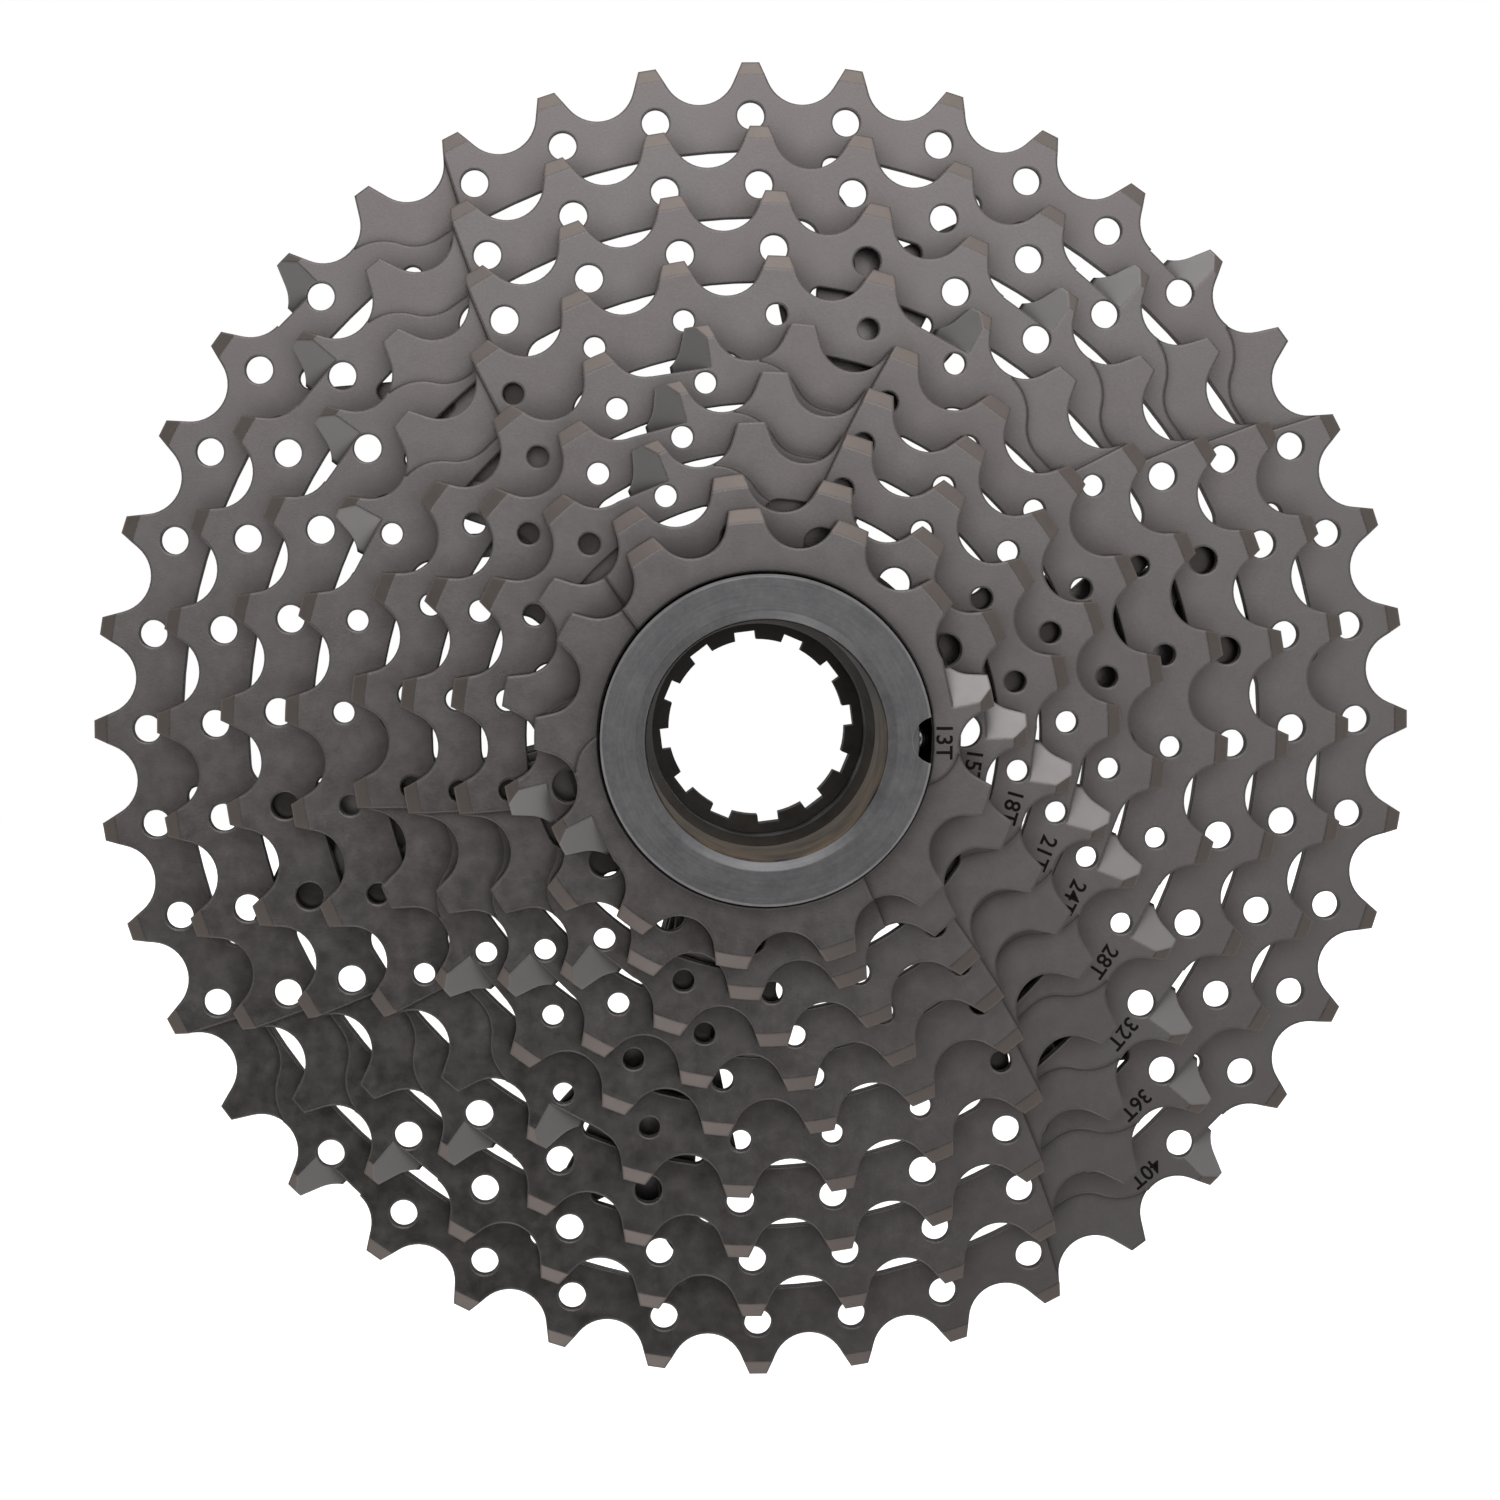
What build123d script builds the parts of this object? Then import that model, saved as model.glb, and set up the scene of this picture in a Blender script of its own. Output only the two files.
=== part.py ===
from build123d import *
import math
import os

# Nine-speed sprocket cluster on a threaded freewheel body.
# It is drawn standing on its hub face: the spin axis is Z, the hub shoulder is
# z = 0 and the smallest sprocket is at the top. stand_up() lays it down at the end.

# Chain and sprocket stack
chain_pitch = 12.7
plate_thickness = 1.8
sprocket_spacing = 4.34
stack_start = 4.5
roller_drop = 3.85
seat_small = 4.0
seat_growth = 0.015
tip_small = 0.311
tip_growth = 0.0222
flank_angle = 28.0
bevel_depth = 0.5
bevel_height = 1.6

stack_top = stack_start + 8 * sprocket_spacing + plate_thickness

# Freewheel body radii
shell_radius = 22.1
shell_groove_depth = 0.8
flange_radius = shell_radius + 1.3
front_shell_radius = shell_radius - 0.8
front_groove_depth = 0.5
front_thread_radius = front_shell_radius - 0.5
shell_inner_radius = 19.4
spline_count = 12
spline_width = 3.2
spline_clearance = 0.05
hub_ring_radius = flange_radius
shell_rear = 0.5
shell_front_drop = 1.1
shell_step_drop = 0.88
collar_wall = 0.75
cone_mouth_gap = 0.25
ledge_start = 1.0
ledge_slope = 2.0
race_bore_gap = 0.3

# Balls and races. Both rows sit a running gap inside the 45 degree races.
ball_radius = 1.5875
rear_ball_count = 36
rear_ball_circle = 19.95
rear_ball_height = 2.8
front_ball_count = 32
front_ball_circle = 17.95
front_ball_height = stack_top - 3.02
race_gap = 0.03
race_reach = (ball_radius + race_gap) * math.sqrt(2)

# Core
core_front = stack_top + 1.38
core_radius = 18.9
core_flange_radius = 19.6
core_shoulder = front_ball_height - 3.0
core_neck_end = core_shoulder - 4.0
core_neck_start = core_neck_end - 2.0
core_groove_top = 4.6
core_groove_slope = 0.6
core_rear_radius = 18.3
core_neck_radius = 16.9
core_thread_radius = 15.9
core_bore_radius = 14.05
lower_bore_radius = 13.0
hub_thread_radius = 16.9
hub_thread_pitch = 1.058
hub_thread_depth = 0.5
hub_thread_turns = 8
hub_thread_start = 0.6
hub_thread_flank = 0.3
hub_thread_floor = 0.08
relief_height = 0.5
bore_step_low = 20.0
bore_step_high = 22.0
key_count = 12
key_land_radius = 10.88
key_notch_radius = 11.87
key_notch_angle = 12.5
key_phase = 7.24
key_bottom = 9.9
key_height = 3.6

# Bearing cone at the front
cone_radius = 19.45
cone_height = stack_top + 1.98
cone_flange = 1.6
cone_lip = 0.9
cone_bevel = 0.3
cone_race_radius = cone_radius - 0.55
cone_lip_gap = 0.1
cone_lip_width = 1.1
cone_notch_radius = 2.8
cone_notch_centre = cone_radius + 0.4
shim_thickness = 0.25
shim_edge_gap = 0.1
shim_bore_gap = 0.02
seal_thickness = 0.45
seal_inner_radius = 19.8

# Ratchet and pawls
ratchet_teeth = 24
ratchet_phase = 7.4
ratchet_back_angle = 10.0
ratchet_floor_angle = 4.0
ratchet_tip_radius = shell_inner_radius - 0.05
ratchet_root_radius = ratchet_tip_radius + 0.9
ratchet_land_drop = 0.15
ratchet_bottom = 21.0
ratchet_height = 6.0
pawl_count = 3
pawl_pivot_radius = 16.9
pawl_heel_radius = 1.4
pawl_length = 7.0
pawl_width = 5.0
pawl_arm_step = 0.05
pawl_tip_outer = 0.6
pawl_tip_inner = 0.9
heel_gap = 0.05
pocket_gap = 0.2
pocket_floor = 1.7
pocket_start = 0.3
pocket_flare = 1.5
pocket_reach = 4.0
leaf_thickness = 0.25
leaf_rise = 0.4
leaf_start = 1.4
leaf_side_gap = 0.8

# Lightening windows: six arms, which fork towards the rim on the large plates
arm_count = 6

# Each sprocket from the wheel side outwards: teeth, angle of the first tooth, hole
# diameter, hole circle below the pitch circle, gates, first gate tooth, teeth in a gate
SPROCKETS = [
    (40, 0.34, 3.4, 5.4, 4, 4, 1),
    (36, 9.66, 3.4, 6.1, 4, 3, 1),
    (32, 9.25, 3.4, 6.1, 4, 3, 1),
    (28, 10.36, 2.6, 6.2, 4, 3, 1),
    (24, 8.87, 2.6, 6.05, 3, 5, 1),
    (21, 2.08, 2.6, 5.85, 3, 5, 1),
    (18, 12.04, 2.6, 5.85, 3, 4, 1),
    (15, 1.8, 3.8, 6.8, 2, 7, 2),
    (13, 12.2, 0.0, 0.0, 2, 6, 2),
]

# Windows of each plate that has them: rim radius, arm angle, half width of the arm,
# fork spread in degrees, radius where the fork starts, radius and half width of the
# inner end of the eye inside the fork. A spread of 0 is a plain arm.
WINDOWS = {
    40: (71.1, 14.7, 4.5, 11.1, 56.0, 61.5, 1.5),
    36: (62.6, 14.7, 4.5, 6.3, 43.0, 54.0, 1.5),
    32: (54.5, 14.7, 4.5, 11.1, 38.0, 44.5, 2.2),
    28: (46.1, 16.4, 4.5, 15.0, 36.0, 41.0, 6.0),
    24: (39.55, 14.0, 4.2, 0.0, 0.0, 0.0, 0.0),
    21: (33.6, 20.8, 6.6, 0.0, 0.0, 0.0, 0.0),
    18: (28.1, 35.4, 2.6, 0.0, 0.0, 0.0, 0.0),
}
branch_half_width = 1.9
window_corner = 2.6
window_corner_share = 0.38
eye_corner = 1.2

# Gates: shallow recesses that let the chain climb. A point of the outline is its
# distance along the pitch circle from the gate tooth and its drop below that circle.
gate_depth = 0.6
gate_floor_drop = 9.1
gate_step_start = 11.4
gate_step_end = 9.0
gate_floor_end = 4.4
gate_bend = (-1.7, 8.4)
gate_rise = (0.2, 6.7)
gate_turn = (2.4, 4.9)
gate_out = (5.2, 4.0)
gate_over = 6.35
second_tooth_reach = 8.4
ramp_angle = 20.0
ramp_offset = 1.0
ramp_drop = 4.3

MARGIN = 1.0


def pitch_radius(teeth):
    return chain_pitch / 2 / math.sin(math.pi / teeth)


def seat_radius(teeth):
    # larger sprockets are cut a little more open at the root
    return seat_small + seat_growth * teeth


def tip_radius(teeth):
    return pitch_radius(teeth) + tip_small + tip_growth * teeth


def at(radius, degrees):
    a = math.radians(degrees)
    return Vector(radius * math.cos(a), radius * math.sin(a))


def offset_at(radius, sideways, degrees):
    # a point given by its distance along a spoke and square to it
    a = math.radians(degrees)
    x = radius * math.cos(a) - sideways * math.sin(a)
    y = radius * math.sin(a) + sideways * math.cos(a)
    return Vector(x, y)


def plate_bottom(index):
    return stack_start + index * sprocket_spacing


def turned(profile):
    # revolves a list of (radius, height) points about the spin axis
    section = Plane.XZ * make_face(Polyline(profile, close=True))
    return revolve(section, Axis.Z, 360)


def ring(outer, inner, bottom, height):
    tube = Cylinder(outer, height, align=(Align.CENTER, Align.CENTER, Align.MIN))
    hole = Cylinder(inner, height + 2 * MARGIN, align=(Align.CENTER, Align.CENTER, Align.MIN))
    return Pos(0, 0, bottom) * (tube - Pos(0, 0, -MARGIN) * hole)


def toothed_face(teeth, first_angle):
    pitch_angle = 360 / teeth
    tip = tip_radius(teeth)
    seat = seat_radius(teeth)
    seat_centre = pitch_radius(teeth) - roller_drop + seat
    flank = math.radians(flank_angle)
    low_x = seat * math.cos(flank)
    low_y = seat_centre - seat * math.sin(flank)
    # the flank runs straight from the seat to the tip circle
    b = low_x * math.sin(flank) + low_y * math.cos(flank)
    run = -b + math.sqrt(b * b - low_x**2 - low_y**2 + tip**2)
    top_x = low_x + run * math.sin(flank)
    top_y = low_y + run * math.cos(flank)
    edges = []
    for k in range(teeth):
        gap = first_angle + (k + 0.5) * pitch_angle
        next_gap = gap + pitch_angle
        a = offset_at(top_y, -top_x, gap)
        b1 = offset_at(low_y, -low_x, gap)
        bottom = at(seat_centre - seat, gap)
        b2 = offset_at(low_y, low_x, gap)
        c = offset_at(top_y, top_x, gap)
        d = offset_at(top_y, -top_x, next_gap)
        edges.append(Line(a, b1))
        edges.append(ThreePointArc(b1, bottom, b2))
        edges.append(Line(b2, c))
        edges.append(ThreePointArc(c, at(tip, gap + pitch_angle / 2), d))
    return Face(Wire(edges))


def splined_bore(radius, groove_depth, bottom, height):
    # the hole through a plate that leaves a lug in each groove of the shell
    bore = Cylinder(radius + spline_clearance, height, align=(Align.CENTER, Align.CENTER, Align.MIN))
    lug = Box(
        2 * groove_depth,
        spline_width - 2 * spline_clearance,
        height + 2 * MARGIN,
        align=(Align.CENTER, Align.CENTER, Align.MIN),
    )
    lugs = [
        Rot(0, 0, 360 / spline_count * k) * Pos(radius + spline_clearance, 0, -MARGIN) * lug
        for k in range(spline_count)
    ]
    return Pos(0, 0, bottom) * (bore - lugs)


def main_windows(teeth):
    rim, arm, half, spread, fork = WINDOWS[teeth][:5]
    step = 360 / arm_count
    inner = hub_ring_radius
    first_inner = arm + math.degrees(math.asin(half / inner))
    last_inner = arm + step - math.degrees(math.asin(half / inner))
    if spread:
        reach = spread + math.degrees(branch_half_width / rim)
        first_fork = offset_at(math.sqrt(fork**2 - half**2), half, arm)
        last_fork = offset_at(math.sqrt(fork**2 - half**2), -half, arm + step)
    else:
        reach = math.degrees(math.asin(half / rim))
    middle = arm + step / 2
    start = at(inner, first_inner)
    end = at(inner, last_inner)
    low = at(rim, arm + reach)
    high = at(rim, arm + step - reach)
    edges = [ThreePointArc(end, at(inner, middle), start)]
    if spread:
        edges += [Line(start, first_fork), Line(first_fork, low)]
    else:
        edges += [Line(start, low)]
    edges += [ThreePointArc(low, at(rim, middle), high)]
    if spread:
        edges += [Line(high, last_fork), Line(last_fork, end)]
    else:
        edges += [Line(high, end)]
    face = Sketch() + Face(Wire(edges))
    corner = min(window_corner, window_corner_share * (rim - inner))
    return fillet(face.vertices(), corner)


def eye_window(teeth):
    rim, arm, _, spread, _, eye_in, eye_half = WINDOWS[teeth]
    reach = spread - math.degrees(branch_half_width / rim)
    low = at(rim, arm - reach)
    high = at(rim, arm + reach)
    inner_low = offset_at(eye_in, -eye_half, arm)
    inner_high = offset_at(eye_in, eye_half, arm)
    edges = [
        ThreePointArc(low, at(rim, arm), high),
        Line(high, inner_high),
        Line(inner_high, inner_low),
        Line(inner_low, low),
    ]
    face = Sketch() + Face(Wire(edges))
    return fillet(face.vertices(), eye_corner)


def gate_pocket(teeth, tooth_angle, span, top):
    # arc lengths on the pitch circle become angles; drops are radii below it
    radius = pitch_radius(teeth)

    def p(along, drop):
        return at(radius - drop, tooth_angle + math.degrees(along / radius))

    extra = second_tooth_reach * (span - 1)
    above = -(tip_radius(teeth) - radius + MARGIN)
    step_top = p(-gate_step_start - extra, above)
    step_low = p(-gate_step_end - extra, gate_floor_drop)
    floor_mid = p((-gate_step_end - extra - gate_floor_end) / 2, gate_floor_drop)
    floor_end = p(-gate_floor_end, gate_floor_drop)
    rise = p(*gate_rise)
    out = p(*gate_out)
    over = p(gate_over, above)
    over_mid = p((-gate_step_start - extra + gate_over) / 2, above - 2 * MARGIN)
    edges = [
        Line(step_top, step_low),
        ThreePointArc(step_low, floor_mid, floor_end),
        ThreePointArc(floor_end, p(*gate_bend), rise),
        ThreePointArc(rise, p(*gate_turn), out),
        Line(out, over),
        ThreePointArc(over, over_mid, step_top),
    ]
    pocket = extrude(Face(Wire(edges)), gate_depth + MARGIN, dir=(0, 0, 1))
    return Pos(0, 0, top - gate_depth) * pocket


def ramp_cut(teeth, tooth_angle, top):
    # the tooth after a gate is milled to a slope across its face
    slope = math.tan(math.radians(ramp_angle))
    far = chain_pitch / 2
    profile = make_face(
        Polyline(
            (-ramp_offset, 0),
            (-ramp_offset, MARGIN),
            (far, MARGIN),
            (far, -slope * (far + ramp_offset)),
            close=True,
        )
    )
    a = math.radians(tooth_angle)
    inner = pitch_radius(teeth) - ramp_drop
    across = Plane(
        origin=(inner * math.cos(a), inner * math.sin(a), top),
        x_dir=(-math.sin(a), math.cos(a), 0),
        z_dir=(math.cos(a), math.sin(a), 0),
    )
    return extrude(across * profile, tip_radius(teeth) - inner + MARGIN)


def tip_bevel(teeth, top):
    tip = tip_radius(teeth)
    start = tip - bevel_height
    end = tip + MARGIN
    drop = bevel_depth * (end - start) / bevel_height
    return turned([(start, top), (end, top - drop), (end, top + MARGIN), (start, top + MARGIN)])


def sprocket(index):
    teeth, first, hole_size, hole_drop, gates, first_gate, span = SPROCKETS[index]
    bottom = plate_bottom(index)
    top = bottom + plate_thickness
    pitch_angle = 360 / teeth
    plate = Pos(0, 0, bottom) * extrude(toothed_face(teeth, first), plate_thickness, dir=(0, 0, 1))
    gate_teeth = [first_gate + k * (teeth // gates) for k in range(gates)]
    cuts = []
    for gate in gate_teeth:
        cuts.append(gate_pocket(teeth, first + gate * pitch_angle, span, top))
        cuts.append(ramp_cut(teeth, first + (gate + 1) * pitch_angle, top))
    cuts.append(tip_bevel(teeth, top))
    if hole_size:
        closed = {g - n for g in gate_teeth for n in range(span)}
        drill = Pos(0, 0, bottom - MARGIN) * Cylinder(
            hole_size / 2,
            plate_thickness + 2 * MARGIN,
            align=(Align.CENTER, Align.CENTER, Align.MIN),
        )
        for k in range(teeth):
            if k not in closed:
                centre = at(pitch_radius(teeth) - hole_drop, first + k * pitch_angle)
                cuts.append(Pos(centre.X, centre.Y, 0) * drill)
    if teeth in WINDOWS:
        cutters = [main_windows(teeth)]
        if WINDOWS[teeth][3]:
            cutters.append(eye_window(teeth))
        for face in cutters:
            cutter = Pos(0, 0, bottom - MARGIN) * extrude(
                face, plate_thickness + 2 * MARGIN, dir=(0, 0, 1)
            )
            cuts += [Rot(0, 0, 360 / arm_count * k) * cutter for k in range(arm_count)]
    if teeth == 13:
        return lock_sprocket(plate, bottom, cuts)
    if teeth == 15:
        cuts.append(splined_bore(front_shell_radius, front_groove_depth, bottom - MARGIN,
                                 plate_thickness + 2 * MARGIN))
    else:
        cuts.append(splined_bore(shell_radius, shell_groove_depth, bottom - MARGIN,
                                 plate_thickness + 2 * MARGIN))
    return plate - cuts


def shell_top():
    return plate_bottom(len(SPROCKETS) - 1) + plate_thickness - shell_front_drop


def lock_sprocket(plate, bottom, cuts):
    # the smallest sprocket screws on and clamps the stack with its collar
    collar_bottom = plate_bottom(len(SPROCKETS) - 2) + plate_thickness
    collar = ring(
        front_shell_radius + collar_wall, front_thread_radius, collar_bottom, bottom - collar_bottom
    )
    thread = Pos(0, 0, collar_bottom) * Cylinder(
        front_thread_radius, shell_top() - collar_bottom, align=(Align.CENTER, Align.CENTER, Align.MIN)
    )
    mouth_radius = cone_radius + cone_mouth_gap
    mouth = Cylinder(mouth_radius, stack_top + MARGIN, align=(Align.CENTER, Align.CENTER, Align.MIN))
    plate = plate - cuts - mouth - thread
    return plate + collar


def spacer(index):
    bottom = plate_bottom(index) + plate_thickness
    height = sprocket_spacing - plate_thickness
    return ring(hub_ring_radius, shell_radius + spline_clearance, bottom, height)


def grooves(radius, depth, bottom, height):
    cut = Box(2 * depth, spline_width, height, align=(Align.CENTER, Align.CENTER, Align.MIN))
    return [
        Rot(0, 0, 360 / spline_count * k) * Pos(radius, 0, bottom) * cut for k in range(spline_count)
    ]


def ratchet_cut():
    # saw teeth inside the shell: a long back, a floor and a steep face
    step = 360 / ratchet_teeth
    points = []
    for k in range(ratchet_teeth):
        start = ratchet_phase + k * step
        floor = start + ratchet_back_angle
        points.append(at(ratchet_tip_radius, start))
        points.append(at(ratchet_root_radius, floor))
        points.append(at(ratchet_root_radius, floor + ratchet_floor_angle))
    face = make_face(Polyline(points, close=True))
    return Pos(0, 0, ratchet_bottom) * extrude(face, ratchet_height, dir=(0, 0, 1))


def outer_shell():
    top = shell_top()
    rear_race = rear_ball_circle + ball_radius + race_gap
    # a 45 degree race passes ball_radius + race_gap from the ball centres
    rear_sum = rear_ball_circle + rear_ball_height + race_reach
    front_race = front_ball_circle + ball_radius + race_gap
    front_diff = front_ball_circle - front_ball_height + race_reach
    step_height = plate_bottom(len(SPROCKETS) - 2) - shell_step_drop
    race_bore = core_neck_radius + race_bore_gap
    ratchet_top = ratchet_bottom + ratchet_height
    ledge = core_neck_start + ledge_start
    land = ratchet_tip_radius - ratchet_land_drop
    inner = [
        (rear_race, shell_rear),
        (rear_race, rear_sum - rear_race),
        (shell_inner_radius, rear_sum - shell_inner_radius),
        (shell_inner_radius, ratchet_bottom),
        (land, ratchet_bottom),
        (land, ratchet_top),
        (shell_inner_radius, ratchet_top),
        (shell_inner_radius, ledge),
        (race_bore, ledge + ledge_slope),
        (race_bore, race_bore - front_diff),
        (front_race, front_race - front_diff),
        (front_race, top),
    ]
    collar_bottom = plate_bottom(len(SPROCKETS) - 2) + plate_thickness
    outer = [
        (front_thread_radius, top),
        (front_thread_radius, collar_bottom),
        (front_shell_radius, collar_bottom),
        (front_shell_radius, step_height),
        (shell_radius, step_height),
        (shell_radius, stack_start),
        (flange_radius, stack_start),
        (flange_radius, shell_rear),
    ]
    body = turned(inner + outer)
    cuts = grooves(shell_radius, shell_groove_depth, stack_start, step_height - stack_start + MARGIN)
    cuts += grooves(front_shell_radius, front_groove_depth, step_height, collar_bottom - step_height)
    cuts.append(ratchet_cut())
    return body - cuts


def pawl_face():
    # a round heel with a tapering arm that leaves it just inside its sides
    root = pawl_heel_radius - pawl_arm_step
    heel = Pos(pawl_pivot_radius, 0) * Circle(pawl_heel_radius)
    arm = make_face(
        Polyline(
            (pawl_pivot_radius - root, 0),
            (pawl_pivot_radius + root, 0),
            (pawl_pivot_radius + pawl_tip_outer, pawl_length),
            (pawl_pivot_radius - pawl_tip_inner, pawl_length),
            close=True,
        )
    )
    return heel + arm


def pawl(k):
    body = extrude(pawl_face(), pawl_width, dir=(0, 0, 1))
    bottom = ratchet_bottom + (ratchet_height - pawl_width) / 2
    return Rot(0, 0, 360 / pawl_count * k) * Pos(0, 0, bottom) * body


def pawl_pocket():
    # room for the pawl at rest and all the way out, and for the leaf spring under it
    heel = Pos(pawl_pivot_radius, 0) * Circle(pawl_heel_radius + heel_gap)
    floor = pawl_pivot_radius - pocket_floor
    outside = pawl_pivot_radius + pocket_reach
    room = make_face(
        Polyline(
            (floor, pocket_start),
            (outside, pocket_start - pocket_flare),
            (outside, pawl_length + pocket_gap),
            (floor, pawl_length + pocket_gap),
            close=True,
        )
    )
    bottom = ratchet_bottom + (ratchet_height - pawl_width) / 2 - pocket_gap
    return Pos(0, 0, bottom) * extrude(heel + room, pawl_width + 2 * pocket_gap, dir=(0, 0, 1))


def pawl_spring(k):
    # a bowed leaf that lies on the pocket floor and lifts the arm of the pawl
    floor = pawl_pivot_radius - pocket_floor
    end = pawl_length - pocket_gap
    middle = (leaf_start + end) / 2
    leaf = make_face(
        Polyline(
            (floor, leaf_start),
            (floor, end),
            (floor + leaf_thickness, end),
            (floor + leaf_rise, middle),
            (floor + leaf_thickness, leaf_start),
            close=True,
        )
    )
    width = pawl_width - 2 * leaf_side_gap
    bottom = ratchet_bottom + (ratchet_height - width) / 2
    return Rot(0, 0, 360 / pawl_count * k) * Pos(0, 0, bottom) * extrude(leaf, width, dir=(0, 0, 1))


def hub_thread_profile():
    # grooves of the hub thread, cut as rings with a flat crest between them
    root = hub_thread_radius + hub_thread_depth
    points = []
    for k in range(hub_thread_turns):
        z = hub_thread_start + k * hub_thread_pitch
        floor_end = z + hub_thread_flank + hub_thread_floor
        points.append((hub_thread_radius, z))
        points.append((root, z + hub_thread_flank))
        points.append((root, floor_end))
        points.append((hub_thread_radius, floor_end + hub_thread_flank))
    return points


def inner_body():
    # the race under the rear balls slopes at 45 degrees
    race_sum = rear_ball_circle + rear_ball_height - race_reach
    thread_root = hub_thread_radius + hub_thread_depth
    key_top = key_bottom + key_height
    outer = [
        (core_flange_radius, 0),
        (core_flange_radius, race_sum - core_flange_radius),
        (core_rear_radius, race_sum - core_rear_radius),
        (core_rear_radius, core_groove_top),
        (core_radius, core_groove_top + core_groove_slope),
        (core_radius, core_neck_start),
        (core_neck_radius, core_neck_end),
        (core_neck_radius, core_shoulder),
        (core_thread_radius, core_shoulder),
        (core_thread_radius, core_front),
    ]
    bore = [
        (core_bore_radius, core_front),
        (core_bore_radius, bore_step_high),
        (lower_bore_radius, bore_step_low),
        (lower_bore_radius, key_top),
        (key_land_radius, key_top),
        (key_land_radius, key_bottom),
        (thread_root, key_bottom),
        (thread_root, key_bottom - relief_height),
        (hub_thread_radius, key_bottom - relief_height),
    ]
    body = turned(outer + bore + list(reversed(hub_thread_profile())) + [(hub_thread_radius, 0)])
    cuts = [Rot(0, 0, 360 / pawl_count * k) * pawl_pocket() for k in range(pawl_count)]
    notch = key_notch()
    cuts += [Rot(0, 0, key_phase + 360 / key_count * k) * notch for k in range(key_count)]
    return body - cuts


def key_notch():
    half = math.radians(key_notch_angle / 2)
    width = 2 * key_notch_radius * math.sin(half)
    cut = Box(
        2 * (key_notch_radius - key_land_radius),
        width,
        key_height + 2 * MARGIN,
        align=(Align.MAX, Align.CENTER, Align.MIN),
    )
    return Pos(key_notch_radius, 0, key_bottom - MARGIN) * cut


def bearing_cone():
    # the race slopes back towards the core at 45 degrees
    diff = front_ball_circle - front_ball_height - race_reach
    flange_rear = cone_height - cone_flange
    lip_end = core_bore_radius + cone_lip_gap + cone_lip_width
    profile = [
        (core_thread_radius, core_thread_radius - diff),
        (cone_race_radius, cone_race_radius - diff),
        (cone_race_radius, flange_rear),
        (cone_radius, flange_rear),
        (cone_radius, cone_height - cone_bevel),
        (cone_radius - cone_bevel, cone_height),
        (lip_end, cone_height),
        (core_bore_radius + 2 * cone_lip_gap, cone_height - cone_lip / 2),
        (core_bore_radius + cone_lip_gap, core_front),
        (core_thread_radius, core_front),
    ]
    notch = Pos(cone_notch_centre, 0, flange_rear - MARGIN) * Cylinder(
        cone_notch_radius,
        cone_flange + 2 * MARGIN,
        align=(Align.CENTER, Align.CENTER, Align.MIN),
    )
    return turned(profile) - notch


def cone_shim(k):
    # thin washers under the cone that set the play of the balls
    bottom = core_shoulder + k * shim_thickness
    outer = core_neck_radius - shim_edge_gap
    return ring(outer, core_thread_radius + shim_bore_gap, bottom, shim_thickness)


def ball_row(count, circle, height):
    ball = Pos(circle, 0, height) * Sphere(ball_radius)
    balls = [Rot(0, 0, 360 / count * k) * ball for k in range(count)]
    return Compound(children=balls)


def rear_seal():
    outer = rear_ball_circle + ball_radius + race_gap
    return ring(outer, seal_inner_radius, shell_rear, seal_thickness)


def stand_up(shape):
    # the spin axis becomes Y and the smallest sprocket faces -Y
    return Rot(90, 0, 0) * shape


def main():
    os.makedirs("parts", exist_ok=True)
    nodes = {
        "inner_body": inner_body(),
        "bearing_cone": bearing_cone(),
        "cone_shim_1": cone_shim(0),
        "cone_shim_2": cone_shim(1),
        "outer_shell": outer_shell(),
        "rear_seal": rear_seal(),
        "rear_balls": ball_row(rear_ball_count, rear_ball_circle, rear_ball_height),
        "front_balls": ball_row(front_ball_count, front_ball_circle, front_ball_height),
    }
    for k in range(pawl_count):
        nodes[f"pawl_{k + 1}"] = pawl(k)
        nodes[f"pawl_spring_{k + 1}"] = pawl_spring(k)
    for index, spec in enumerate(SPROCKETS):
        nodes[f"sprocket_{spec[0]}"] = sprocket(index)
    for index in range(len(SPROCKETS) - 2):
        pair = f"{SPROCKETS[index][0]}_{SPROCKETS[index + 1][0]}"
        nodes[f"spacer_{pair}"] = spacer(index)
    for name, shape in nodes.items():
        export_step(stand_up(shape), f"parts/{name}.step")


main()
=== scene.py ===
import bpy
import math
from mathutils import Matrix, Vector


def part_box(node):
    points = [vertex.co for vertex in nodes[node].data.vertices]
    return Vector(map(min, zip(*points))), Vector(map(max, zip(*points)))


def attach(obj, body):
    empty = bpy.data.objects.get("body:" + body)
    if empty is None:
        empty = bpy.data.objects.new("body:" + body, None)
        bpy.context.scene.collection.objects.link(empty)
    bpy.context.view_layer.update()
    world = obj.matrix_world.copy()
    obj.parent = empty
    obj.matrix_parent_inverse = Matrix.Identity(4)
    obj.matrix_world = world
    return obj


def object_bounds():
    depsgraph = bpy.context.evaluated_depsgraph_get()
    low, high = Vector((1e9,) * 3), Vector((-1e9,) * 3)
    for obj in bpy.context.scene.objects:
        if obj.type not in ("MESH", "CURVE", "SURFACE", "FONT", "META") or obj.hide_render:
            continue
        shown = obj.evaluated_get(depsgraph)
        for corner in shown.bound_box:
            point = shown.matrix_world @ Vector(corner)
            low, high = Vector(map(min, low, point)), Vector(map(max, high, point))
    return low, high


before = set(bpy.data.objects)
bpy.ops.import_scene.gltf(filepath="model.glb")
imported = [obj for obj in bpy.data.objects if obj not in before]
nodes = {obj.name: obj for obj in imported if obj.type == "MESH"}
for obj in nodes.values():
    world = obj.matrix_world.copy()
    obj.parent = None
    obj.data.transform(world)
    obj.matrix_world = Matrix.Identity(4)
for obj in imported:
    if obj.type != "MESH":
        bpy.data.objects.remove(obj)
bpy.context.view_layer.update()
scene = bpy.context.scene
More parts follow.
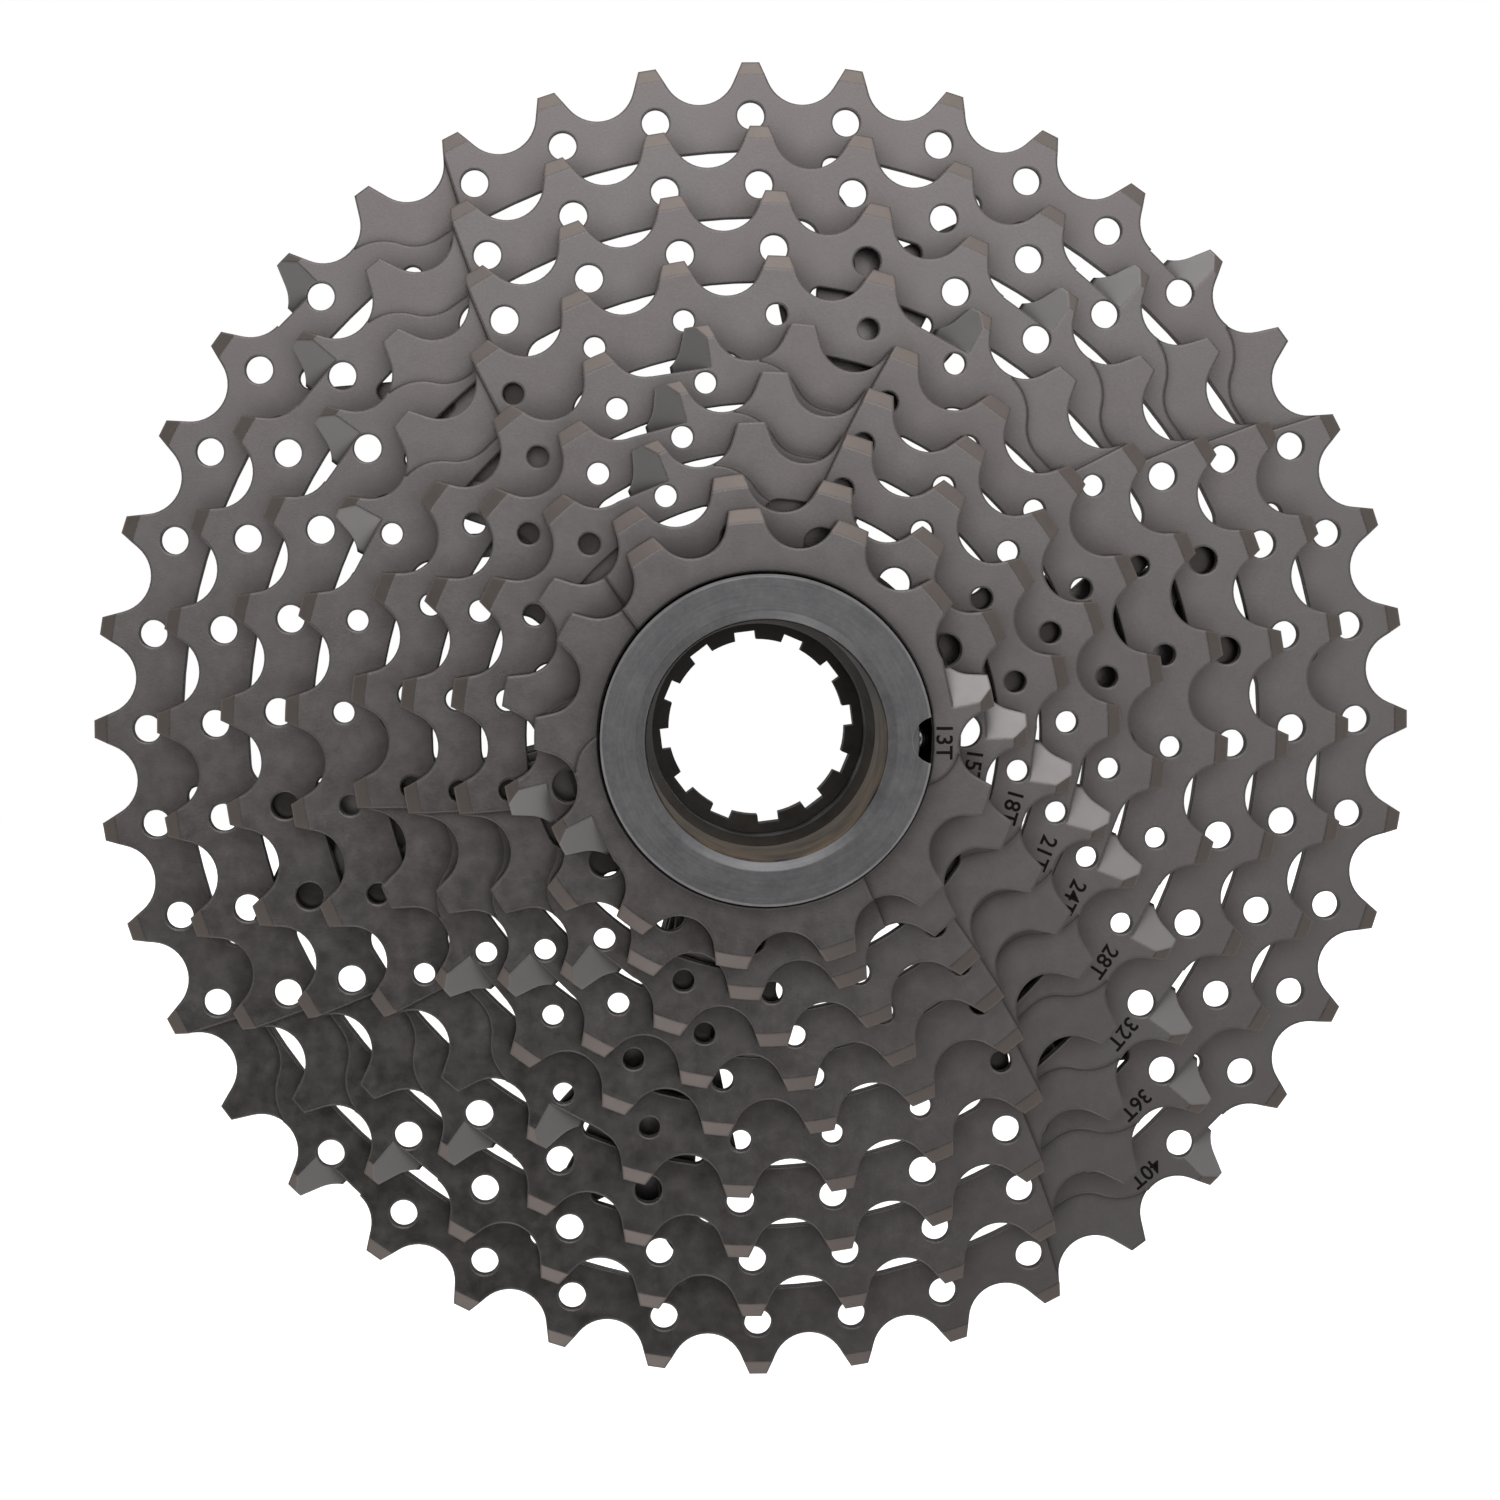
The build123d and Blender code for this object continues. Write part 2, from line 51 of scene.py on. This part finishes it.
scene.view_settings.view_transform = "Standard"
scene.view_settings.look = "None"

# Camera: a long lens, a little above and to the left of the spin axis
CAMERA_DISTANCE = 0.5463
CAMERA_TILT = math.radians(3.41)
CAMERA_SWING = math.radians(2.165)
CAMERA_SLIDE = (0.00053, 0.00329)
LENS = 104.76
SENSOR = 36.0

TEETH = (40, 36, 32, 28, 24, 21, 18, 15, 13)
CHAIN_PITCH = 0.0127

# Stamped tooth numbers: how far below the pitch circle, and their angle on each plate
NUMBER_DROP = 0.0057
NUMBER_SIZE = 0.0027
NUMBER_BOLDNESS = 0.00004
NUMBER_RELIEF = 0.00001
NUMBER_GAP = 0.000005
NUMBER_ANGLE = {13: -0.5, 15: -8, 18: -16, 21: -23, 24: -28, 28: -34, 32: -40, 36: -45, 40: -49}

# Colours of the metals, of what covers them, and of painted shade
PLATE_METAL = (0.345, 0.328, 0.330)
PLATE_WARM = (0.32, 0.300, 0.295)
RAMP_METAL = (0.47, 0.455, 0.46)
TIP_BROWN = (0.30, 0.25, 0.22)
# painted shade on the plates' side faces
SIDE_SHADE_BROWN = (0.10, 0.080, 0.066)
DRIED_OIL = (0.46, 0.33, 0.19)
SHELL_STAIN = (0.2, 0.13, 0.06)
# painted shade along the plates' rounded edges
EDGE_SHADE = (0.13, 0.115, 0.105)
BARE_EDGE = (0.78, 0.77, 0.76)
# painted shade in the gaps between overlapping plates
GAP_SHADE = (0.045, 0.040, 0.036)

# Reach of the rounding of edges, of their wear and painted edge shade, of the painted shade in gaps,
# and depth of fine relief
PLATE_EDGE = 0.0004
TURNED_EDGE = 0.0002
GAP_SHADE_REACH = 0.005
FINE_RELIEF = 0.00002
PLATE_RELIEF = 0.00003

# Spacing of the lathe's tool marks, as noise scale per metre
GROOVES = 2600.0
FINE_GROOVES = 3600.0

# Light of the studio wall, in degrees up, across or off the axis, seen from the object.
# A panel or the operator is: degrees across, degrees up, width, and for a panel its light.
WALL_LOW = 0.355
WALL_HIGH = 1.24
WALL_RISE = (-6.0, 16.6)
WALL_REACH = (13.0, 22.0)
OPERATOR = (-3.0, -10.4, 3.8)
OPERATOR_DARK = 4.0
PANELS = ((14.0, 36.0, 12.0, 0.75), (-11.0, -40.0, 11.0, 0.70))
RIM_REACH = (24.0, 42.0)
RIM_NEAR = 0.02
RIM_FAR = 0.32
ROOM_REACH = (60.0, 95.0)
ROOM_LIGHT = 0.42
DOOR_REACH = (150.0, 165.0)
DOOR_DARK = 0.1
ROOM_TINT = (1.0, 0.975, 0.965)

# Key light: place, aim, side of its square and power
KEY_PLACE = (-0.15, -0.75, 0.75)
KEY_AIM = (0, -0.02, 0)
KEY_SIZE = 0.6
KEY_POWER = 0.7
KEY_TINT = (1.0, 0.99, 0.98)

FLOOR_SIDE = 3.0
FLOOR_DROP = 0.16
FLOOR_GLOW = 0.97


def rgb(r, g, b):
    return (r, g, b, 1.0)


def make_camera():
    ca, sa = math.cos(CAMERA_TILT), math.sin(CAMERA_TILT)
    cb, sb = math.cos(CAMERA_SWING), math.sin(CAMERA_SWING)
    right = Vector((cb, -sb, 0))
    up = Vector((sa * sb, sa * cb, ca))
    back = Vector((-ca * sb, -ca * cb, sa))
    low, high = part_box("sprocket_40")
    centre = Vector((0, (low.y + high.y) / 2, 0))
    spot = centre - right * CAMERA_SLIDE[0] - up * CAMERA_SLIDE[1] + back * CAMERA_DISTANCE
    data = bpy.data.cameras.new("camera")
    data.lens = LENS
    data.sensor_width = SENSOR
    data.clip_start = 0.01
    camera = bpy.data.objects.new("camera", data)
    scene.collection.objects.link(camera)
    turn = Matrix((right, up, back)).transposed().to_4x4()
    camera.matrix_world = Matrix.Translation(spot) @ turn
    scene.camera = camera


class Tree:
    """A material's nodes, added one call at a time."""

    def __init__(self, name):
        self.material = bpy.data.materials.new(name)
        self.material.use_nodes = True
        self.nodes = self.material.node_tree.nodes
        self.links = self.material.node_tree.links
        self.shader = self.nodes["Principled BSDF"]
        coords = self.nodes.new("ShaderNodeTexCoord")
        self.place = coords.outputs["Object"]
        split = self.nodes.new("ShaderNodeSeparateXYZ")
        self.links.new(self.place, split.inputs[0])
        self.x, self.y, self.z = split.outputs

    def put(self, value, socket):
        if isinstance(value, bpy.types.NodeSocket):
            self.links.new(value, socket)
        else:
            socket.default_value = value

    def math(self, operation, a, b=None, clamp=False):
        node = self.nodes.new("ShaderNodeMath")
        node.operation = operation
        node.use_clamp = clamp
        self.put(a, node.inputs[0])
        if b is not None:
            self.put(b, node.inputs[1])
        return node.outputs[0]

    def times(self, a, b):
        return self.math("MULTIPLY", a, b)

    def both(self, a, b):
        """Two masks at once, kept between 0 and 1."""
        return self.math("MULTIPLY", a, b, clamp=True)

    def vector(self, operation, a, b=None):
        node = self.nodes.new("ShaderNodeVectorMath")
        node.operation = operation
        self.put(a, node.inputs[0])
        if b is not None:
            self.put(b, node.inputs[1])
        return node.outputs["Value" if operation == "DOT_PRODUCT" else "Vector"]

    def combine(self, x, y, z):
        node = self.nodes.new("ShaderNodeCombineXYZ")
        self.put(x, node.inputs[0])
        self.put(y, node.inputs[1])
        self.put(z, node.inputs[2])
        return node.outputs[0]

    def noise(self, scale, detail=3.0, roughness=0.55, place=None):
        node = self.nodes.new("ShaderNodeTexNoise")
        self.put(place or self.place, node.inputs["Vector"])
        node.inputs["Scale"].default_value = scale
        node.inputs["Detail"].default_value = detail
        node.inputs["Roughness"].default_value = roughness
        return node.outputs["Fac"]

    def spread(self, value, low, high, out_low=0.0, out_high=1.0):
        node = self.nodes.new("ShaderNodeMapRange")
        self.put(value, node.inputs["Value"])
        node.inputs["From Min"].default_value = low
        node.inputs["From Max"].default_value = high
        node.inputs["To Min"].default_value = out_low
        node.inputs["To Max"].default_value = out_high
        return node.outputs["Result"]

    def mix(self, share, a, b, blend="MIX"):
        node = self.nodes.new("ShaderNodeMix")
        node.data_type = "RGBA"
        node.blend_type = blend
        self.put(share, node.inputs["Factor"])
        colours = [s for s in node.inputs if s.type == "RGBA"]
        self.put(a, colours[0])
        self.put(b, colours[1])
        return [s for s in node.outputs if s.type == "RGBA"][0]

    def shaded(self, colour, shade):
        return self.mix(1.0, colour, self.combine(shade, shade, shade), "MULTIPLY")

    def tool_marks(self, spacing):
        """Rings of lathe marks round the spin axis, which wander a little with the angle."""
        square = self.math("ADD", self.times(self.x, self.x), self.times(self.z, self.z))
        radius = self.math("SQRT", square)
        angle = self.math("ARCTAN2", self.z, self.x)
        across = self.times(radius, spacing)
        along = self.times(self.y, spacing)
        return self.noise(1.0, 3, 0.65, self.combine(across, along, self.times(angle, 2.5)))

    def edges_worn_and_shaded(self, reach):
        """1 on an edge, 0 away from it, from how far a rounded normal leaves the true one."""
        bevel = self.nodes.new("ShaderNodeBevel")
        bevel.samples = 6
        bevel.inputs["Radius"].default_value = reach
        geometry = self.nodes.new("ShaderNodeNewGeometry")
        along = self.vector("DOT_PRODUCT", bevel.outputs[0], geometry.outputs["Normal"])
        return self.spread(along, 0.995, 0.85), bevel.outputs[0]

    def painted_gap_shade(self, reach):
        """1 deep in a gap, 0 in the open, for the painted shade that falls there."""
        node = self.nodes.new("ShaderNodeAmbientOcclusion")
        node.samples = 8
        node.inputs["Distance"].default_value = reach
        return self.spread(node.outputs["AO"], 0.92, 0.42, 0.0, 0.9)

    def leaning(self):
        """How squarely a face looks along the axis to the front, and how far it leans outwards."""
        geometry = self.nodes.new("ShaderNodeNewGeometry")
        turn = self.nodes.new("ShaderNodeVectorTransform")
        turn.vector_type = "NORMAL"
        turn.convert_from = "WORLD"
        turn.convert_to = "OBJECT"
        self.links.new(geometry.outputs["True Normal"], turn.inputs[0])
        face = self.vector("DOT_PRODUCT", turn.outputs[0], (0.0, -1.0, 0.0))
        spoke = self.vector("NORMALIZE", self.combine(self.x, 0.0, self.z))
        outward = self.vector("DOT_PRODUCT", turn.outputs[0], spoke)
        return face, outward

    def bump(self, height, strength, distance, normal=None):
        node = self.nodes.new("ShaderNodeBump")
        node.inputs["Strength"].default_value = strength
        node.inputs["Distance"].default_value = distance
        self.put(height, node.inputs["Height"])
        if normal is not None:
            self.put(normal, node.inputs["Normal"])
        return node.outputs[0]

    def finish(self, colour, roughness, normal, metallic=1.0):
        self.put(colour, self.shader.inputs["Base Color"])
        self.put(roughness, self.shader.inputs["Roughness"])
        self.shader.inputs["Metallic"].default_value = metallic
        self.put(normal, self.shader.inputs["Normal"])
        return self.material


def plate_metal(name, seed):
    """Satin nickel plate over stamped steel: blotchy tone, the fine tooth of the blasted
    surface, bare metal on the milled ramps, brown on the tooth tips, painted shade in dark
    brown blotches on the side faces, painted shade along the rounded edges, and painted
    shade where the plates overlap."""
    t = Tree(name)
    shifted = t.vector("ADD", t.place, (seed * 0.37, seed * 0.11, seed * 0.23))
    blotch = t.noise(45, 4, 0.6, shifted)
    cloud = t.noise(420, 4, 0.6, shifted)
    grain = t.noise(3800, 3, 0.6, shifted)
    scratch = t.noise(1.0, 2, 0.5, t.vector("MULTIPLY", shifted, (900.0, 900.0, 70.0)))
    edge, soft_normal = t.edges_worn_and_shaded(PLATE_EDGE)
    base = t.mix(t.spread(blotch, 0.3, 0.7), rgb(*PLATE_METAL), rgb(*PLATE_WARM))
    shade = t.times(t.spread(cloud, 0.3, 0.7, 0.93, 1.06), t.spread(grain, 0.3, 0.7, 0.95, 1.05))
    base = t.shaded(base, shade)
    # sloped faces: a ramp leans round the plate, a tip bevel leans outwards
    face, outward = t.leaning()
    lean = t.both(t.spread(face, 0.993, 0.985), t.spread(face, 0.5, 0.8))
    tip = t.both(lean, t.spread(outward, 0.12, 0.22))
    ramp = t.both(lean, t.spread(outward, 0.12, 0.06))
    base = t.mix(t.times(ramp, 0.85), base, rgb(*RAMP_METAL))
    base = t.mix(t.times(tip, 0.6), base, rgb(*TIP_BROWN))
    # painted shade: side faces darkened dark brown, in blotches
    side = t.both(t.spread(t.math("ABSOLUTE", face), 0.4, 0.1), t.spread(blotch, 0.35, 0.65))
    base = t.mix(t.times(side, 0.8), base, rgb(*SIDE_SHADE_BROWN))
    # painted shade: a dull dark line along the rounded edges
    edge_shade = t.both(edge, t.spread(cloud, 0.2, 0.6, 0.35, 0.6))
    base = t.mix(edge_shade, base, rgb(*EDGE_SHADE))
    # painted shade: darker where an occlusion mask finds the plates overlapping
    base = t.mix(t.painted_gap_shade(GAP_SHADE_REACH), base, rgb(*GAP_SHADE))
    roughness = t.math("ADD", t.spread(cloud, 0.25, 0.75, 0.17, 0.26), t.times(lean, 0.12))
    height = t.math("ADD", grain, t.times(scratch, 0.4))
    return t.finish(base, roughness, t.bump(height, 0.12, PLATE_RELIEF, soft_normal))


def turned_metal(name, colour, dark, rough, groove=GROOVES, stain=0.0):
    """Metal cut on a lathe: rings of tool marks round the spin axis, clouds and stains."""
    t = Tree(name)
    rings = t.tool_marks(groove)
    cloud = t.noise(260, 5, 0.65)
    speck = t.noise(1500, 3, 0.7)
    edge, soft_normal = t.edges_worn_and_shaded(TURNED_EDGE)
    base = t.mix(t.spread(cloud, 0.3, 0.7), rgb(*dark), rgb(*colour))
    shade = t.times(t.spread(rings, 0.3, 0.7, 0.9, 1.1), t.spread(speck, 0.3, 0.7, 0.9, 1.1))
    base = t.shaded(base, shade)
    if stain:
        film = t.both(t.spread(t.noise(90, 4, 0.6), 0.38, 0.6), stain)
        base = t.mix(film, base, rgb(*SHELL_STAIN))
    wear = t.both(edge, t.spread(cloud, 0.3, 0.55))
    base = t.mix(t.times(wear, 0.6), base, rgb(*BARE_EDGE))
    roughness = t.spread(speck, 0.25, 0.75, rough - 0.06, rough + 0.07)
    return t.finish(base, roughness, t.bump(rings, 0.3, FINE_RELIEF, soft_normal))


def oiled_bore(name):
    """Dark lathe-cut steel, with old oil dried brown on the low side of the bore's mouth."""
    t = Tree(name)
    rings = t.tool_marks(GROOVES)
    cloud = t.noise(260, 5, 0.65)
    base = t.mix(t.spread(cloud, 0.3, 0.7), rgb(0.045, 0.041, 0.038), rgb(0.085, 0.080, 0.076))
    mouth = t.spread(t.y, -0.020, -0.030)
    low = t.spread(t.math("ADD", t.times(t.x, -0.35), t.z), 0.002, -0.009)
    film = t.both(t.times(mouth, low), t.spread(t.noise(150, 4, 0.6), 0.3, 0.6))
    base = t.mix(film, base, rgb(*DRIED_OIL))
    roughness = t.spread(cloud, 0.25, 0.75, 0.26, 0.38)
    return t.finish(base, roughness, t.bump(rings, 0.3, FINE_RELIEF))


def plain_metal(name, colour, rough):
    """Hardened or polished small steel pieces: faint clouds and fine pits."""
    t = Tree(name)
    cloud = t.noise(900, 4, 0.6)
    pits = t.noise(4500, 3, 0.6)
    base = t.shaded(rgb(*colour), t.spread(cloud, 0.3, 0.7, 0.88, 1.12))
    roughness = t.spread(cloud, 0.3, 0.7, rough - 0.05, rough + 0.08)
    return t.finish(base, roughness, t.bump(pits, 0.15, FINE_RELIEF))


def seal_plastic(name):
    """Dull black plastic with a fine pebbled surface."""
    t = Tree(name)
    cloud = t.noise(700, 4, 0.6)
    base = t.shaded(rgb(0.035, 0.034, 0.033), t.spread(cloud, 0.3, 0.7, 0.8, 1.2))
    roughness = t.spread(cloud, 0.3, 0.7, 0.5, 0.7)
    return t.finish(base, roughness, t.bump(t.noise(4000, 2), 0.2, PLATE_RELIEF), 0.0)


def cover(node, material):
    slots = nodes[node].data.materials
    slots.clear()
    slots.append(material)


def cover_nodes():
    for index, teeth in enumerate(TEETH):
        cover(f"sprocket_{teeth}", plate_metal(f"satin_plate_{teeth}", index + 1))
    bright_metal = plain_metal("bright_steel", (0.55, 0.54, 0.52), 0.22)
    # the first start that fits a node's name is used, so the springs come before the pawls
    by_start = (
        ("spacer_", turned_metal("spacer_anodised", (0.10, 0.095, 0.092), (0.06, 0.057, 0.055), 0.45)),
        ("pawl_spring", bright_metal),
        ("cone_shim", bright_metal),
        ("pawl", plain_metal("hardened_steel", (0.33, 0.32, 0.31), 0.35)),
    )
    for node in nodes:
        for start, metal in by_start:
            if node.startswith(start):
                cover(node, metal)
                break
    ball_metal = plain_metal("polished_balls", (0.62, 0.62, 0.63), 0.10)
    cover("front_balls", ball_metal)
    cover("rear_balls", ball_metal)
    cover("outer_shell", turned_metal(
        "shell_black_oxide", (0.10, 0.094, 0.09), (0.05, 0.046, 0.043), 0.42, stain=0.3))
    cover("inner_body", oiled_bore("core_oiled_steel"))
    cover("bearing_cone", turned_metal(
        "cone_fine_turned", (0.345, 0.348, 0.360), (0.26, 0.263, 0.275), 0.34, groove=FINE_GROOVES))
    cover("rear_seal", seal_plastic("seal_black"))


def stage_floor():
    side = FLOOR_SIDE
    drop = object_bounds()[0][2] - FLOOR_DROP
    corners = [(-side, -side, drop), (side, -side, drop), (side, side, drop), (-side, side, drop)]
    mesh = bpy.data.meshes.new("floor")
    mesh.from_pydata(corners, [], [(0, 1, 2, 3)])
    floor = bpy.data.objects.new("floor", mesh)
    scene.collection.objects.link(floor)
    t = Tree("floor_paper")
    pale = t.spread(t.noise(6, 3), 0.3, 0.7, 0.80, 0.84)
    t.put(t.combine(pale, pale, pale), t.shader.inputs["Base Color"])
    t.shader.inputs["Roughness"].default_value = 0.9
    t.shader.inputs["Emission Color"].default_value = rgb(1, 1, 1)
    t.shader.inputs["Emission Strength"].default_value = FLOOR_GLOW
    mesh.materials.append(t.material)
    floor.visible_glossy = False
    floor.visible_diffuse = False


def key_light():
    data = bpy.data.lights.new("key", "AREA")
    data.shape = "SQUARE"
    data.size = KEY_SIZE
    data.energy = KEY_POWER
    data.color = KEY_TINT
    light = bpy.data.objects.new("key", data)
    light.location = KEY_PLACE
    way = (Vector(KEY_AIM) - Vector(KEY_PLACE)).normalized()
    light.rotation_euler = way.to_track_quat("-Z", "Y").to_euler()
    light.visible_camera = False
    scene.collection.objects.link(light)


def make_world():
    """A soft studio: pale to the eye. To the metal it is a wall in front, brighter above,
    with the operator's dark shape low on the left, two panels, and a dimmer room beyond
    with a dark doorway behind the object."""
    world = bpy.data.worlds.new("studio")
    world.use_nodes = True
    tree = world.node_tree
    tree.nodes.clear()

    def calc(operation, a, b=None, clamp=False):
        node = tree.nodes.new("ShaderNodeMath")
        node.operation = operation
        node.use_clamp = clamp
        for value, socket in zip((a, b), node.inputs):
            if isinstance(value, bpy.types.NodeSocket):
                tree.links.new(value, socket)
            elif value is not None:
                socket.default_value = value
        return node.outputs[0]

    def ramp(value, low, high, out_low, out_high):
        node = tree.nodes.new("ShaderNodeMapRange")
        node.interpolation_type = "SMOOTHSTEP"
        tree.links.new(value, node.inputs["Value"])
        ends = (("From Min", low), ("From Max", high), ("To Min", out_low), ("To Max", out_high))
        for key, number in ends:
            node.inputs[key].default_value = number
        return node.outputs["Result"]

    def in_degrees(value):
        return calc("MULTIPLY", value, math.degrees(1))

    def blob(across, up, width):
        dx = calc("DIVIDE", calc("SUBTRACT", side, across), width)
        dz = calc("DIVIDE", calc("SUBTRACT", rise, up), width)
        square = calc("ADD", calc("MULTIPLY", dx, dx), calc("MULTIPLY", dz, dz))
        return calc("POWER", math.e, calc("MULTIPLY", square, -0.5))

    coords = tree.nodes.new("ShaderNodeTexCoord")
    split = tree.nodes.new("ShaderNodeSeparateXYZ")
    tree.links.new(coords.outputs["Generated"], split.inputs[0])
    x, y, z = split.outputs
    front = calc("MULTIPLY", y, -1.0)
    side = in_degrees(calc("ARCTAN2", x, front))
    rise = in_degrees(calc("ARCSINE", z))
    off = in_degrees(calc("ARCCOSINE", front))
    wall = ramp(rise, *WALL_RISE, WALL_LOW, WALL_HIGH)
    shade = calc("SUBTRACT", 1.0, calc("MULTIPLY", blob(*OPERATOR), OPERATOR_DARK), clamp=True)
    lit = calc("MULTIPLY", calc("MULTIPLY", wall, shade), ramp(off, *WALL_REACH, 1.0, 0.0))
    for across, up, width, light in PANELS:
        lit = calc("ADD", lit, calc("MULTIPLY", blob(across, up, width), light))
    lit = calc("ADD", lit, ramp(off, *RIM_REACH, RIM_NEAR, RIM_FAR))
    lit = calc("ADD", lit, ramp(off, *ROOM_REACH, 0.0, ROOM_LIGHT))
    lit = calc("MULTIPLY", lit, ramp(off, *DOOR_REACH, 1.0, DOOR_DARK))
    room = tree.nodes.new("ShaderNodeBackground")
    room.inputs["Color"].default_value = rgb(*ROOM_TINT)
    tree.links.new(lit, room.inputs["Strength"])
    pale = tree.nodes.new("ShaderNodeBackground")
    pale.inputs["Color"].default_value = rgb(1, 1, 1)
    pale.inputs["Strength"].default_value = 1.0
    rays = tree.nodes.new("ShaderNodeLightPath")
    mix = tree.nodes.new("ShaderNodeMixShader")
    out = tree.nodes.new("ShaderNodeOutputWorld")
    tree.links.new(rays.outputs["Is Camera Ray"], mix.inputs[0])
    tree.links.new(room.outputs[0], mix.inputs[1])
    tree.links.new(pale.outputs[0], mix.inputs[2])
    tree.links.new(mix.outputs[0], out.inputs["Surface"])
    scene.world = world


def stamp_number(teeth, painted_shadow):
    """The plate's own tooth count as dark text on its face, read clockwise: painted shadow of pressed
    digits.
    """
    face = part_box(f"sprocket_{teeth}")[0].y
    radius = CHAIN_PITCH / 2 / math.sin(math.pi / teeth) - NUMBER_DROP
    angle = math.radians(NUMBER_ANGLE[teeth])
    text = bpy.data.curves.new(f"number_{teeth}", "FONT")
    text.body = f"{teeth}T"
    text.size = NUMBER_SIZE
    text.offset = NUMBER_BOLDNESS
    text.extrude = NUMBER_RELIEF
    text.align_x = "CENTER"
    text.align_y = "CENTER"
    text.materials.append(painted_shadow)
    mark = bpy.data.objects.new(f"number_{teeth}", text)
    scene.collection.objects.link(mark)
    outward = Vector((math.cos(angle), 0, math.sin(angle)))
    along = Vector((math.sin(angle), 0, -math.cos(angle)))
    turn = Matrix((along, outward, Vector((0, -1, 0)))).transposed().to_4x4()
    spot = outward * radius + Vector((0, face - NUMBER_GAP, 0))
    mark.matrix_world = Matrix.Translation(spot) @ turn
    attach(mark, "sprocket_carrier")


cover_nodes()
# painted shadow: the numbers are dark to stand for the shade inside pressed digits
number_shadow = plain_metal("stamped_shadow", (0.030, 0.028, 0.027), 0.55)
for teeth in TEETH:
    stamp_number(teeth, number_shadow)
make_camera()
stage_floor()
make_world()
key_light()
